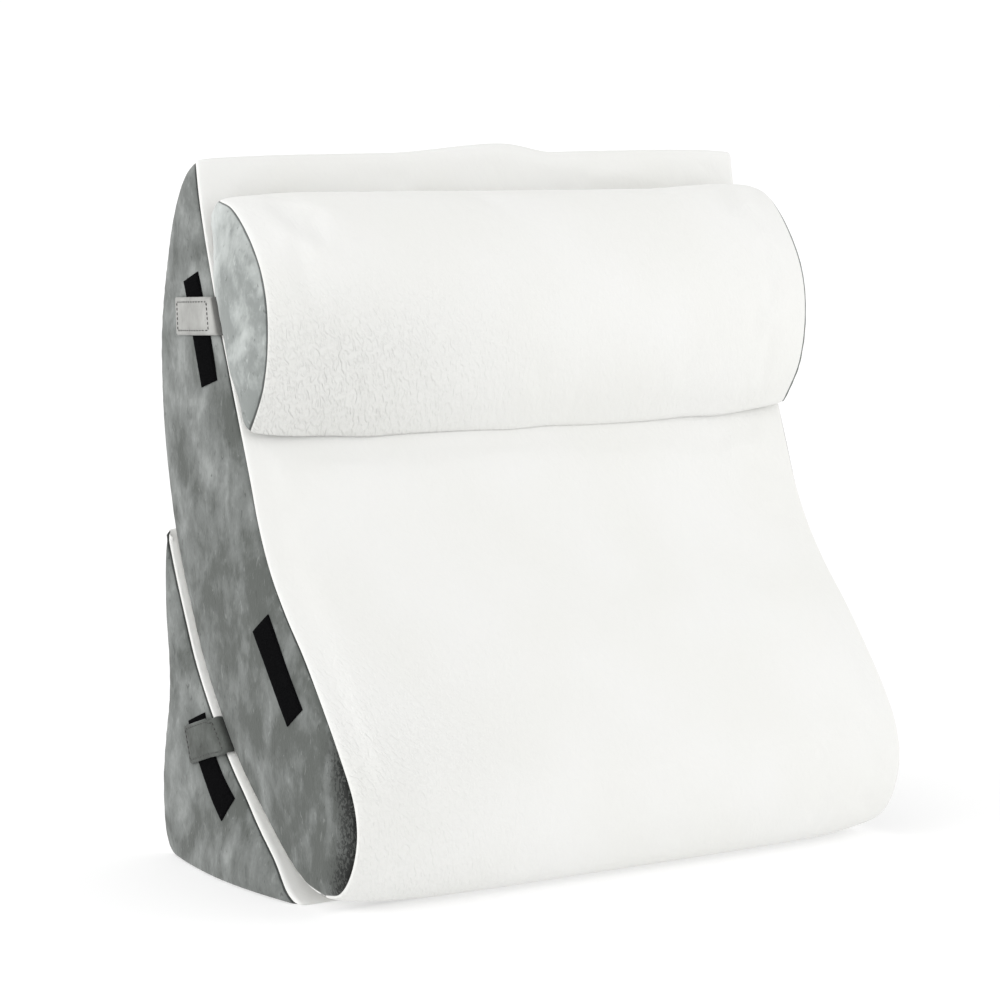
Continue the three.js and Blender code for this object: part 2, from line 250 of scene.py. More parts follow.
# %% [markdown]
# One class holds what the three cushions share. A ring is the outline at one place along the width.
# The strip of cover turns over the foam's edge and goes down into the side seam, so the last rings
# on each side follow the profile RIM: they come in towards the seam's bottom, where the panel starts.

# %% A cushion's shape
SEAM_INSET = 0.002   # from a side seam in to the foam's end
CROWN_POWER = 6      # how late the crown falls towards the ends
DOME_RISE_POWER = 4
DOME_CROSS_POWER = 2.5
RING_SPACING = 0.009
TIP_SPAN = 3         # places to each side that tell how pointed a tip is
TIP_FADE = 0.016
TIP_SLOPE = 1.6      # the top tips stay nearly in place, the foot tips slide further back
FOOT_SLOPE = 3.8
FLOOR_RIM = {"share": 0.15, "height": 0.018}
RIM = np.array([
    # inset from the foam's end, drawn in from the outline
    (0.0024, 0.0062), (0.0000, 0.0046), (-0.0008, 0.0030), (-0.0006, 0.0017),
    (0.0006, 0.0007), (0.0026, 0.0002), (0.0055, 0.0), (0.0110, 0.0),
])


class Cushion:
    def __init__(self, name, front, back, settle, width, rows, dome=0.005, panel_inset=0.0032):
        self.name, self.dome, self.rows, self.settle = name, dome, rows, settle
        self.panel_inset = panel_inset   # from the outline in to the panel's edge
        self.half = width / 2 - SEAM_INSET
        up = evenly(smooth_curve(front), rows)
        down = evenly(smooth_curve(back), rows)[::-1]
        self.loop = np.vstack([up, down[1:-1]])
        ahead = np.roll(self.loop, -1, axis=0)
        turn = ahead - np.roll(self.loop, 1, axis=0)
        self.outward = np.column_stack([-turn[:, 1], turn[:, 0]])
        self.outward /= np.linalg.norm(self.outward, axis=1)[:, None]
        steps = np.linalg.norm(ahead[:, :2] - self.loop[:, :2], axis=1)
        self.walked = np.concatenate([[0], np.cumsum(steps)[:-1]])
        self.inward = -self.outward
        self.point_inward(0, steps.sum())
        self.point_inward(rows, steps.sum())
        off_floor = smooth(self.loop[:, 1] / FLOOR_RIM["height"])
        self.inward[:, 1] *= FLOOR_RIM["share"] + (1 - FLOOR_RIM["share"]) * off_floor

    def point_inward(self, tip, length):
        """Beside a pointed tip, drawn in places also slide away from it, so the outline keeps its point"""
        places = self.loop[:, :2]
        after, before = places[(tip + TIP_SPAN) % len(places)], places[tip - TIP_SPAN]
        ways = [(end - places[tip]) / np.linalg.norm(end - places[tip]) for end in (after, before)]
        half = math.acos(float(ways[0] @ ways[1])) / 2
        slope = min(1 / math.tan(half), TIP_SLOPE if tip else FOOT_SLOPE)
        self.inward[tip] *= math.hypot(1, slope)
        away = (self.walked - self.walked[tip] + length / 2) % length - length / 2
        strength = slope * np.clip(1 - abs(away) / (TIP_FADE * slope + 1e-9), 0, 1) ** 2 * np.sign(away)
        tangent = np.column_stack([self.outward[:, 1], -self.outward[:, 0]])
        self.inward += strength[:, None] * tangent

    def ring(self, x, drawn_in=0.0):
        """The outline at one place along the width"""
        share = x / self.half
        crown = self.loop[:, 2] * max(0, 1 - abs(share) ** CROWN_POWER)
        moved = crown[:, None] * self.outward + drawn_in * self.inward
        places = np.column_stack([np.full(len(moved), x), self.loop[:, :2] + moved])
        self.settle(places, share)
        places[:, 2] = np.maximum(places[:, 2], 0)
        return places

    def halves(self, ring):
        """The ring's front and its back, both from foot to top"""
        return ring[: self.rows + 1], ring[-np.arange(self.rows + 1)]

    def across(self, ring, columns):
        """A grid from the ring's front to its back, a row for each place from foot to top"""
        front, back = self.halves(ring)
        return front[:, None] + (back - front)[:, None] * np.atleast_2d(columns)[:, :, None]

    def bulge(self, columns):
        """How far the domed end stands out, over the same grid"""
        row = np.linspace(-1, 1, self.rows + 1)
        rise = 1 - abs(row) ** DOME_RISE_POWER
        cross = 1 - abs(2 * np.atleast_2d(columns) - 1) ** DOME_CROSS_POWER
        return self.dome * rise[:, None] * cross


contour = Cushion("contour", CONTOUR_FRONT, CONTOUR_BACK, settle_contour, width=0.610, rows=168)
base = Cushion("base", BASE_FRONT, BASE_BACK, settle_base, width=0.622, rows=104)
roll = Cushion("roll", ROLL_FRONT, ROLL_BACK, settle_roll, 0.604, 80, dome=0.007, panel_inset=0.0022)
for cushion in (contour, base, roll):
    print(cushion.name, "outline", round(cushion.walked[-1], 3), "m round")

# %% [markdown]
# Two helpers turn grids of places into closed meshes. A cover is a tube of rings, closed at each end
# by a grid that the side panel hides. A thin piece, such as a panel, tape or strap, is two grids a
# thickness apart, joined round their border. Where a grid's first or last row is one single point,
# as at a cushion's tip, the point is shared, so no face is left without an area.


# %% Closed meshes from grids
class Builder:
    """Collects places and faces, and gives each place that comes again its first number"""

    MERGE = 1e-6

    def __init__(self):
        self.places, self.faces, self.known = [], [], {}

    def number(self, place):
        key = tuple(np.round(np.asarray(place) / self.MERGE).astype(int))
        if key not in self.known:
            self.known[key] = len(self.places)
            self.places.append(tuple(place))
        return self.known[key]

    def face(self, corners):
        distinct = list(dict.fromkeys(corners))
        if len(distinct) > 2:
            self.faces.append(distinct)

    def sheet(self, grid, flipped=False):
        """Adds a grid's faces, and returns the numbers of its places"""
        numbers = np.array([[self.number(place) for place in row] for row in grid])
        for upper, lower in zip(numbers, numbers[1:]):
            for a, b, c, d in zip(upper, upper[1:], lower[1:], lower):
                self.face([a, d, c, b] if flipped else [a, b, c, d])
        return numbers

    def piece(self, name):
        """The finished object"""
        mesh = bpy.data.meshes.new(name)
        mesh.from_pydata(self.places, [], self.faces)
        mesh.validate()
        mesh.shade_smooth()
        made = bpy.data.objects.new(name, mesh)
        scene.collection.objects.link(made)
        return made


def border(numbers):
    """A grid's border, once round, without a place that comes twice"""
    around = [*numbers[0], *numbers[1:, -1], *numbers[-1, ::-1][1:], *numbers[::-1, 0][1:-1]]
    return [n for i, n in enumerate(around) if n != around[i - 1]]


def thin_piece(name, inner, outer, flipped, notes):
    """A closed thin piece between two grids, with numbers kept for each place of the grids"""
    builder = Builder()
    grids = [builder.sheet(inner, not flipped), builder.sheet(outer, flipped)]
    near, far = [border(grid) for grid in grids]
    for i in range(len(near)):
        rim = [near[i - 1], near[i], far[i], far[i - 1]]
        builder.face(rim[::-1] if flipped else rim)
    made = builder.piece(name)
    for title, values in notes.items():
        kept = np.zeros(len(builder.places))
        for grid in grids:
            kept[grid] = values
        note(made, title, kept)
    return made


def triples(items, name):
    """Three numbers for each item of a mesh, as an array"""
    flat = np.zeros(len(items) * 3, np.float32)
    items.foreach_get(name, flat)
    return flat.reshape(-1, 3).astype(float)


def places_of(piece):
    return triples(piece.data.vertices, "co")


def evaluated(piece):
    """The piece as its modifiers make it"""
    return piece.evaluated_get(bpy.context.evaluated_depsgraph_get())


def set_places(piece, places):
    piece.data.vertices.foreach_set("co", places.ravel())
    piece.data.update()


def note(piece, name, values):
    """Keeps a number for each place on the mesh, for the finish to read"""
    attribute = piece.data.attributes.new(name, "FLOAT", "POINT")
    attribute.data.foreach_set("value", np.asarray(values, np.float32))


# %% [markdown]
# The covers come next. Each is swept from seam to seam, with rings 9 mm apart, and closed behind its
# panels. At this spacing the simulation that follows is quick, and the one subdivision after it
# brings the faces down to about 4 mm.

# %% Sweep the three covers
CAP_COLUMNS = np.linspace(0, 1, 5)
COVER_STRIDE = 2       # a cover takes every second place of an outline, a panel takes all
# How deep the knit's crinkle stands, which also sets how much painted crease shade darkens the knit
CRINKLED = {
    # everywhere, more at the left, from x and over a width, from z and over a height
    "contour": (0.08, 0.44, -0.30, 0.24, 0.12, 0.16),
    "base": (0.06, 0.0, 0.0, 1.0, 0.0, 1.0),
    "roll": (0.12, 0.88, -0.27, 0.32, 0.47, 0.11),
}


def crinkled_share(cushion, places):
    """How deep the knit's crinkle stands: it is pulled flat wherever the cover is tight"""
    low, extra, x_from, x_fade, z_from, z_fade = CRINKLED[cushion.name]
    x, _, z = places.T
    left = 1 - smooth((x - x_from) / x_fade)
    below = 1 - smooth((z - z_from) / z_fade)
    return low + extra * left * below


def cover_of(cushion):
    insets, drawn_in = RIM.T
    inner = cushion.half - insets[-1]
    between = np.linspace(-inner, inner, round(2 * inner / RING_SPACING) + 1)[1:-1]
    across = np.concatenate([insets - cushion.half, between, (cushion.half - insets)[::-1]])
    depth = np.concatenate([drawn_in, np.zeros(len(between)), drawn_in[::-1]])
    rings = np.array([cushion.ring(x, d) for x, d in zip(across, depth)])
    closed = np.concatenate([rings, rings[:, :1]], axis=1)[:, ::COVER_STRIDE]
    builder = Builder()
    numbers = builder.sheet(closed, flipped=True)
    for side, ring in ((-1, rings[0]), (1, rings[-1])):
        grid = cushion.across(ring, CAP_COLUMNS)
        grid[:, :, 0] += side * cushion.bulge(CAP_COLUMNS)
        builder.sheet(grid[::COVER_STRIDE], flipped=side < 0)
    made = builder.piece(f"{cushion.name}_cover")
    along = np.zeros(len(builder.places))
    along[numbers[:, :-1]] = cushion.walked[::COVER_STRIDE]
    note(made, "along", along)
    note(made, "crinkled", crinkled_share(cushion, np.array(builder.places)))
    return made


covers = {cushion.name: cover_of(cushion) for cushion in (contour, base, roll)}
for cover in covers.values():
    print(cover.name, len(cover.data.polygons), "faces")

# %% [markdown]
# A sewn cover is cut a little fuller than its foam, so it swells between its seams and puckers beside
# them. Blender's cloth does this: a light pressure from inside blows the closed cover up, and some
# extra cloth lets it ripple. It may not move where something holds it, which is at the seams, on the
# floor and where two cushions touch. A cap keeps the swelling as small as firm foam allows.

# %% Where a cover is held
HELD_AT_SEAM = 0.010
HELD_NEAR = 0.004
HELD_FADE = 0.025
FLOOR_BAND = 0.003


def tree_of(*pieces):
    """One search tree of the faces of several pieces"""
    places, faces = [], []
    for piece in pieces:
        faces += [[n + len(places) for n in face.vertices] for face in piece.data.polygons]
        places += [tuple(v.co) for v in piece.data.vertices]
    return BVHTree.FromPolygons(places, faces)


def to_others(cushion, places):
    """How far each place of a cover is from the other covers"""
    others = tree_of(*[cover for name, cover in covers.items() if name != cushion.name])
    return np.array([others.find_nearest(Vector(place))[3] for place in places])


def held_share(cushion):
    """1 where the cover can't move, falling to 0 where it is free"""
    places = places_of(covers[cushion.name])
    touching = 1 - smooth((to_others(cushion, places) - HELD_NEAR) / HELD_FADE)
    sewn = 1 - smooth((cushion.half - abs(places[:, 0]) - HELD_AT_SEAM) / HELD_FADE)
    standing = 1 - smooth((places[:, 2] - FLOOR_BAND) / HELD_FADE)
    return np.maximum.reduce([touching, sewn, standing])


held = {cushion.name: held_share(cushion) for cushion in (contour, base, roll)}
for name, share in held.items():
    print(name, "free places:", int((share < 0.5).sum()))

# %% Let the covers settle as cloth
CLOTH_FRAMES = 20
CLOTH_PRESSURE = 4
EXTRA_CLOTH = 0.006
MOST_SWELL = 0.003
FREE_HOLD = 0.04


def add_cloth(cover, share):
    group = cover.vertex_groups.new(name="held")
    for number, value in enumerate(np.maximum(share, FREE_HOLD)):
        group.add([number], float(value), "REPLACE")
    cloth = cover.modifiers.new("cloth", "CLOTH")
    cloth.settings.vertex_group_mass = group.name
    cloth.settings.use_pressure = True
    cloth.settings.uniform_pressure_force = CLOTH_PRESSURE
    cloth.settings.shrink_min = -EXTRA_CLOTH
    cloth.settings.effector_weights.gravity = 0
    cloth.collision_settings.use_collision = False
    cloth.point_cache.frame_end = CLOTH_FRAMES


def take_cloth(cover):
    """Ends the simulation, and keeps where the cloth went, up to the cap"""
    rest = places_of(cover)
    moved = places_of(evaluated(cover)) - rest
    length = np.linalg.norm(moved, axis=1)[:, None]
    kept = moved * np.minimum(1, MOST_SWELL / np.maximum(length, 1e-9))
    cover.modifiers.clear()
    cover.vertex_groups.clear()
    set_places(cover, rest + kept)
    return float(length.max()), float(np.linalg.norm(kept, axis=1).mean())


for name, cover in covers.items():
    add_cloth(cover, held[name])
for step in range(1, CLOTH_FRAMES + 1):
    scene.frame_set(step)
for cover in covers.values():
    most, mean = take_cloth(cover)
    print(cover.name, "most", round(most * 1000, 1), "mm, mean kept", round(mean * 1000, 1), "mm")
scene.frame_set(1)

# %% Subdivide the covers once
for cover in covers.values():
    cover.modifiers.new("fine", "SUBSURF").levels = 1
    fine = bpy.data.meshes.new_from_object(evaluated(cover))
    cover.modifiers.clear()
    cover.data = fine
    fine.shade_smooth()
    print(cover.name, len(fine.polygons), "faces")

# %% [markdown]
# One by one come the small things that the simulation's mesh is too coarse for. Along each side seam the
# thread draws the cloth in every centimetre or so, on the cover and on the panel alike, so both ask
# one function how deep the pucker is at a place. The roll's lower edge waves a little, because it
# bears on the slope below it, and the big white faces roll softly up and down by under a millimetre.
# Last, the roll is laid on the tall wedge: what would cut into it comes out to its surface.

# %% Puckers beside the seams
PUCKER_PITCH = 0.016
PUCKER_DEPTH = 0.0006
PUCKER_REACH = 0.009
PUCKER_FAR = 4           # reaches from the seam, where nothing is left of it
PUCKER_SHIFTS = ((0.35, 0.023), (0.5, 0.071))   # no two stitches pull alike: share, and length in metres
PUCKER_CHANGE = {"least": 0.6, "more": 0.4, "length": 0.047}
IN_SEAM = 0.001


def from_seam(cushion, side, points):
    """Each point's distance from a side seam in y and z, and where along the seam it is nearest"""
    start = cushion.ring(side * cushion.half, cushion.panel_inset)[:, 1:]
    span = np.roll(start, -1, axis=0) - start
    length = np.maximum((span**2).sum(axis=1), 1e-12)
    best = np.full(len(points), 1e9)
    place = np.zeros(len(points))
    for a, d, square, w in zip(start, span, length, cushion.walked):
        share = np.clip(((points - a) @ d) / square, 0, 1)
        distance = np.linalg.norm(points - a - share[:, None] * d, axis=1)
        nearer = distance < best
        best[nearer] = distance[nearer]
        place[nearer] = (w + share * math.sqrt(square))[nearer]
    return best, place


def pucker(distance, place):
    """How deep the thread has drawn the cloth in"""
    phase = place / PUCKER_PITCH
    for share, length in PUCKER_SHIFTS:
        phase = phase + share * np.sin(place / length)
    strength = PUCKER_CHANGE["least"] + PUCKER_CHANGE["more"] * np.sin(place / PUCKER_CHANGE["length"] + 1)
    wave = 0.5 + 0.5 * np.sin(2 * np.pi * phase)
    return PUCKER_DEPTH * strength * wave * np.exp(-distance / PUCKER_REACH)


# %% Work over the covers
SWELL = {"size": 0.110, "height": 0.0006}
RIPPLE = {"size": 0.030, "height": 0.00012}
EDGE_WAVE = {"pitch": 0.135, "height": 0.0009, "reach": 0.030, "shift": 0.031}
LAY = {"soft": 0.0006, "near": 0.005, "fade": 0.008}   # fades out towards the seams


def rolling(places, size, height):
    """A soft unevenness of one size"""
    return height * np.array([noise.noise(Vector(place) / size) for place in places])


def laid_on(places, tree, half):
    """The places of a soft piece that rests on another, with none left inside it"""
    laid = places.copy()
    for index, place in enumerate(places):
        spot, normal, _, _ = tree.find_nearest(Vector(place))
        over = (Vector(place) - spot).dot(normal)
        if over < LAY["near"]:
            share = smooth((half - abs(place[0])) / LAY["fade"])
            resting = LAY["soft"] * math.log1p(math.exp(over / LAY["soft"]))
            laid[index] += share * (resting - over) * np.array(normal)
    return laid


for cushion in (contour, base, roll):
    cover = covers[cushion.name]
    places, outward = places_of(cover), triples(cover.data.vertex_normals, "vector")
    apart = smooth((to_others(cushion, places) - HELD_NEAR) / HELD_FADE)
    free = apart * smooth(places[:, 2] / HELD_FADE)
    raised = free * (rolling(places, **SWELL) + rolling(places, **RIPPLE))
    for side in (-1, 1):
        near = cushion.half - side * places[:, 0]
        beside = np.flatnonzero((near < PUCKER_FAR * PUCKER_REACH) & (near > IN_SEAM))
        _, along = from_seam(cushion, side, places[beside, 1:])
        raised[beside] -= pucker(near[beside], along)
    if cushion is roll:
        edge = places[:, 1:] - roll.loop[0, :2]
        below = np.exp(-(np.linalg.norm(edge, axis=1) / EDGE_WAVE["reach"]) ** 2)
        x = places[:, 0]
        wave = np.sin(2 * np.pi * x / EDGE_WAVE["pitch"] + np.sin(x / EDGE_WAVE["shift"]))
        places[:, 2] += EDGE_WAVE["height"] * below * wave
    places += raised[:, None] * outward
    if cushion is roll:
        places = laid_on(places, tree_of(covers["contour"]), contour.half)
    places[:, 2] = np.maximum(places[:, 2], 0)
    set_places(cover, places)
    print(cover.name, "raised by up to", round(raised.max() * 1000, 2), "mm")

# %% [markdown]
# A side panel is a sheet of velour, cut to the outline and sewn round its edge. It lies over the
# foam's domed end and rolls down into the seam at its rim. Its columns are close together beside the
# seam, where it bends, and wide apart in the middle.

# %% Side panels
PANEL_GAP = 0.0003
PANEL_THICKNESS = 0.0025
PANEL_EDGE = 0.0006      # thickness at the very rim, in the seam
PANEL_ROLL = 0.0028      # how far from the rim it rolls down
PANEL_WAVE = {"size": 0.055, "height": 0.0012}
WAVE_FROM_RIM = 0.02
EDGE_COLUMNS = np.array([0, 0.0006, 0.0014, 0.0024, 0.0038, 0.006, 0.010, 0.016])
MIDDLE_COLUMNS = 17

# Painted shade in the seam's groove, a darker tone low down, and the pile's wear: heights are given as (none
# there, all there)
SEAM_SHADE_REACH = 0.0009
SEAM_SHADE_LESS_RUBBED = 0.4
SEAM_SHADE_CHANGE = {"size": 0.085, "height": 0.75}
SEAM_SHADE_SHARE = {"usual": 0.72, "least": 0.45}
RUBBED = {"reach": 0.026, "heights": (0.260, 0.100), "behind": -0.270, "depth": 0.040}
# how much darker the colour is made lower down, and on the base wedge all over
TONE_DOWN_HEIGHTS = (0.520, 0.160)
TONE_DOWN_ON_ROLL = {"heights": (0.600, 0.480), "share": 1.1}
TONE_DOWN_ON_BASE = 0.45


def tone_and_wear(cushion, places, distance):
    """How much darker the colour is made lower down, and how worn the pile is: the tall wedge's foot is,
    along its lower front seam
    """
    z = places[:, 2]
    if cushion is roll:
        return TONE_DOWN_ON_ROLL["share"] * smooth(z, *TONE_DOWN_ON_ROLL["heights"]), np.zeros(len(places))
    if cushion is base:
        return np.full(len(places), TONE_DOWN_ON_BASE), np.zeros(len(places))
    front = smooth((RUBBED["behind"] - (places[:, 1] - FRAME_SHIFT)) / RUBBED["depth"])
    rubbed = np.exp(-((distance / RUBBED["reach"]) ** 2)) * front * smooth(z, *RUBBED["heights"])
    return smooth(z, *TONE_DOWN_HEIGHTS), rubbed


def panel_columns(width):
    """Shares of a row's width, close together at both its ends"""
    edge = EDGE_COLUMNS * min(1, width / (4 * EDGE_COLUMNS[-1])) / width
    middle = np.linspace(edge[-1], 1 - edge[-1], MIDDLE_COLUMNS)
    return np.concatenate([edge[:-1], middle, 1 - edge[:-1][::-1]])


def rounded_rim(distance, reach):
    """How a sheet's thickness grows from its rim inwards, as a quarter circle"""
    return np.sqrt(1 - (1 - np.clip(distance / reach, 0, 1)) ** 2)


def panel_of(cushion, side, word):
    ring = cushion.ring(side * cushion.half, cushion.panel_inset)
    front, back = cushion.halves(ring)
    widths = np.maximum(np.linalg.norm(front - back, axis=1), 1e-4)
    columns = np.array([panel_columns(width) for width in widths])
    inner = cushion.across(ring, columns)
    places = inner.reshape(-1, 3)
    distance, along = from_seam(cushion, side, places[:, 1:])
    rolled = rounded_rim(distance, PANEL_ROLL)
    thick = PANEL_EDGE + (PANEL_THICKNESS - PANEL_EDGE) * rolled - pucker(distance, along) * rolled
    thick += rolling(places, **PANEL_WAVE) * smooth(distance / WAVE_FROM_RIM)
    inner[:, :, 0] += side * (cushion.bulge(columns) + PANEL_GAP)
    outer = inner.copy()
    outer[:, :, 0] += side * np.maximum(thick, PANEL_EDGE / 2).reshape(columns.shape)
    dull, rubbed = tone_and_wear(cushion, places, distance)
    # painted shade: a thin dark line in the seam's groove, beside the panel's rim
    pressed = np.exp(-distance / SEAM_SHADE_REACH) * (1 - SEAM_SHADE_LESS_RUBBED * rubbed)
    if cushion is contour:
        share = SEAM_SHADE_SHARE["usual"] + rolling(places, **SEAM_SHADE_CHANGE)
        pressed *= np.clip(share, SEAM_SHADE_SHARE["least"], 1)
    notes = {"pressed": pressed, "dull": dull, "rubbed": rubbed}
    notes = {title: values.reshape(columns.shape) for title, values in notes.items()}
    return thin_piece(f"{cushion.name}_panel_{word}", inner, outer, side < 0, notes)


SIDES = {"left": -1, "right": 1}
panels = {}
for cushion in (contour, base, roll):
    for word, side in SIDES.items():
        panel = panel_of(cushion, side, word)
        panels[f"{cushion.name}_side_{word}"] = panel
        print(panel.name, len(panel.data.polygons), "faces")

# %% [markdown]
# The loop tapes are stiff black rectangles, sewn flat to the panels. To lay one down, rays are sent
# in from the side: where a ray meets the panel, the tape's underside lies just over it.

# %% Lay the loop tapes
TAPE_THICKNESS = 0.0014
TAPE_GAP = 0.0004
TAPE_STEP = 0.0025
TAPE_EDGE = 0.0012
TAPE_RIM = 0.5           # share of the thickness left at the tape's edges
TAPE_FUZZ = {"size": 0.004, "height": 0.00015}
FAR_OUT = 1.0


def reach(tree, side, y, z):
    """How far out a surface stands at a place on the side"""
    hit = tree.ray_cast(Vector((side * FAR_OUT, y, z)), Vector((-side, 0, 0)))[0]
    return abs(hit.x) if hit else None


class Strip:
    """A straight strip on a side, by the middle of its two short edges"""

    def __init__(self, start, end, width, bow=0.0):
        self.start = np.array(start) + [FRAME_SHIFT, 0]
        self.end = np.array(end) + [FRAME_SHIFT, 0]
        self.width, self.bow = width, bow
        self.length = float(np.linalg.norm(self.end - self.start))
        self.along = (self.end - self.start) / self.length
        self.across = np.array([-self.along[1], self.along[0]])

    def at(self, length, width):
        """The place in y and z at a length along it and a width off its middle"""
        turn = math.pi * min(max(length / self.length, 0), 1)
        across = self.across - self.along * self.bow * math.pi / self.length * math.cos(turn)
        middle = self.start + self.along * length + self.across * self.bow * math.sin(turn)
        return middle + across / np.linalg.norm(across) * width


TAPES = {
    "contour_tape_upper": (Strip((-0.0461, 0.5487), (-0.0811, 0.4527), 0.027, bow=-0.0012), "contour"),
    "contour_tape_lower": (Strip((-0.174, 0.245), (-0.235, 0.168), 0.030), "contour"),
    "base_tape": (Strip((-0.0590, 0.142), (-0.1230, 0.066), 0.028, bow=0.009), "base"),
}


def tape_of(name, strip, panel, side):
    tree = tree_of(panel)
    lengths = np.linspace(0, strip.length, round(strip.length / TAPE_STEP) + 1)
    widths = np.linspace(-strip.width / 2, strip.width / 2, round(strip.width / TAPE_STEP) + 1)
    under, over = [], []
    for l in lengths:
        for w in widths:
            y, z = strip.at(l, w)
            x = reach(tree, side, y, z) + TAPE_GAP
            inside = min(l, strip.length - l, strip.width / 2 - abs(w))
            thick = TAPE_THICKNESS * (TAPE_RIM + (1 - TAPE_RIM) * min(1, inside / TAPE_EDGE))
            fuzz = rolling([(0, y, z)], **TAPE_FUZZ)[0]
            under.append((side * x, y, z))
            over.append((side * (x + thick + fuzz), y, z))
    shape = (len(lengths), len(widths), 3)
    return thin_piece(name, np.reshape(under, shape), np.reshape(over, shape), side < 0, {})


tapes = {}
for name, (strip, cushion_name) in TAPES.items():
    for word, side in SIDES.items():
        panel = panels[f"{cushion_name}_side_{word}"]
        tapes[f"{name}_{word}"] = tape_of(f"{name}_cloth_{word}", strip, panel, side)
print("tapes:", len(tapes), "of", [round(strip.length, 3) for strip, _ in TAPES.values()], "m")

# %% [markdown]
# A strap is a tube of velour turned right side out, pressed flat and sewn in a box near its edges. It
# comes out of a side seam, turns the corner and lies over the tape. So its first places are given,
# and after them rays find the highest thing under it, as a stiff strap bridges small steps.

# %% Lay the straps
STRAP_GAP = 0.0004
STRAP_THICKNESS = 0.0026
STRAP_STEP = 0.007
STRAP_FINE = 0.0018
STRAP_EDGE = 0.0018
# painted shade in the stitch groove: how dark it is, and how far it reaches
STITCH_GROOVE_SHADE = 0.55
STITCH_SHADE_REACH = 0.0016
STITCH_SINK = 0.0007
SINK_REACH = 0.0012
SINK_BEFORE = 0.002      # how far before its box the sunk line may start
STRAP_RIM = 0.35         # share of the thickness left at the strap's edges
TURN_SHADE_FADE = 0.004
FEEL = (-1.1, -0.75, -0.4, 0, 0.4, 0.75, 1.1)   # where rays feel for the surface, in half widths

STRAPS = {
    "roll_strap": {
        "strip": Strip((-0.088, 0.515), (-0.022, 0.511), 0.035),
        "start": 0.010, "box_early": 0.009, "inset": 0.0045, "shade_back_from_lead": 0.015,
        "under": ("contour_side", "contour_tape_upper"),
        "seam": (  # x, the lower edge's y and z, the upper edge's y and z
            (0.2910, -0.101, 0.498, -0.088, 0.532),
            (0.3030, -0.101, 0.498, -0.088, 0.532),
            (0.3076, -0.099, 0.498, -0.086, 0.532),
        ),
    },
    "contour_strap": {
        "strip": Strip((-0.098, 0.131), (-0.047, 0.1135), 0.036),
        "start": 0.014, "box_early": 0.016, "inset": 0.0032, "shade_back_from_lead": 0.020,
        "under": ("base_side", "base_tape"),
        "seam": (
            (0.3045, -0.1106, 0.1166, -0.0866, 0.1455),
            (0.3095, -0.1106, 0.1166, -0.0866, 0.1455),
            (0.3145, -0.1072, 0.1138, -0.0832, 0.1427),
        ),
    },
}


def strap_edges(facts, tree, side):
    """The strap's lower and upper edges on its underside, from the seam to its free end"""
    strip = facts["strip"]
    rows = [
        [(x, ly + FRAME_SHIFT, lz), (x, uy + FRAME_SHIFT, uz)]
        for x, ly, lz, uy, uz in facts["seam"]
    ]
    steps = round((strip.length - facts["start"]) / STRAP_STEP)
    for length in np.linspace(facts["start"], strip.length, steps + 1):
        heights = [
            reach(tree, side, *strip.at(length + shift, share * strip.width / 2))
            for share in FEEL
            for shift in (-STRAP_STEP, 0, STRAP_STEP)
        ]
        x = max(h for h in heights if h) + STRAP_GAP
        rows.append([(x, *strip.at(length, w)) for w in (-strip.width / 2, strip.width / 2)])
    return np.array(rows) * [side, 1, 1]


def strap_of(name, facts, tree, side):
    rows = strap_edges(facts, tree, side)
    flat = smooth_curve(rows.reshape(len(rows), 6))
    middle = (flat[:, :3] + flat[:, 3:]) / 2
    walked = walked_along(middle)
    lengths = np.linspace(0, walked[-1], round(walked[-1] / STRAP_FINE) + 1)
    fine = np.column_stack([np.interp(lengths, walked, column) for column in flat.T])
    lower, upper = fine[:, :3], fine[:, 3:]
    width = facts["strip"].width
    widths = np.linspace(0, width, round(width / STRAP_FINE) + 1)
    under = lower[:, None] + (upper - lower)[:, None] * (widths / width)[None, :, None]
    out = side * np.cross(np.gradient(fine[:, :3] + fine[:, 3:], axis=0), upper - lower)
    out /= np.linalg.norm(out, axis=1)[:, None]
    to_side = np.minimum(widths, width - widths)[None, :]
    to_end = (lengths[-1] - lengths)[:, None]
    inside = np.minimum(to_side, to_end)
    thick = STRAP_THICKNESS * (STRAP_RIM + (1 - STRAP_RIM) * rounded_rim(inside, STRAP_EDGE))
    lead = walked[len(facts["seam"]) * CURVE_STEPS]
    start = lead - facts["box_early"]
    from_box = np.minimum(inside, (lengths - start)[:, None]) - facts["inset"]
    in_box = (lengths > start - SINK_BEFORE)[:, None]
    thick -= STITCH_SINK * np.exp(-((from_box / SINK_REACH) ** 2)) * in_box
    over = under + thick[:, :, None] * out[:, None]
    # painted shade: the velour is darkened along the sunk stitch line, for the shadow in its groove
    sewn = np.exp(-((from_box / STITCH_SHADE_REACH) ** 2)) * in_box
    # painted shade: the part of the strap that runs from the seam and turns into the gap is darkened for the
    # shade there, through the same mesh number as the tall wedge's rubbed pile
    turned = 1 - smooth((lengths - lead + facts["shade_back_from_lead"]) / TURN_SHADE_FADE)
    turned = np.repeat(turned[:, None], len(widths), axis=1)
    made = thin_piece(name, under, over, side < 0, {"pressed": sewn * STITCH_GROOVE_SHADE, "rubbed": turned})
    box = {"lengths": lengths, "widths": widths, "over": over, "out": out}
    return made, {**box, "from": start, "width": width, "inset": facts["inset"]}


straps, boxes = {}, {}
for name, facts in STRAPS.items():
    for word, side in SIDES.items():
        under = [panels[f"{facts['under'][0]}_{word}"], tapes[f"{facts['under'][1]}_{word}"]]
        strap, box = strap_of(f"{name}_cloth_{word}", facts, tree_of(*under), side)
        straps[f"{name}_{word}"], boxes[f"{name}_{word}"] = strap, box
print("straps:", {name: round(box["lengths"][-1], 3) for name, box in boxes.items()})

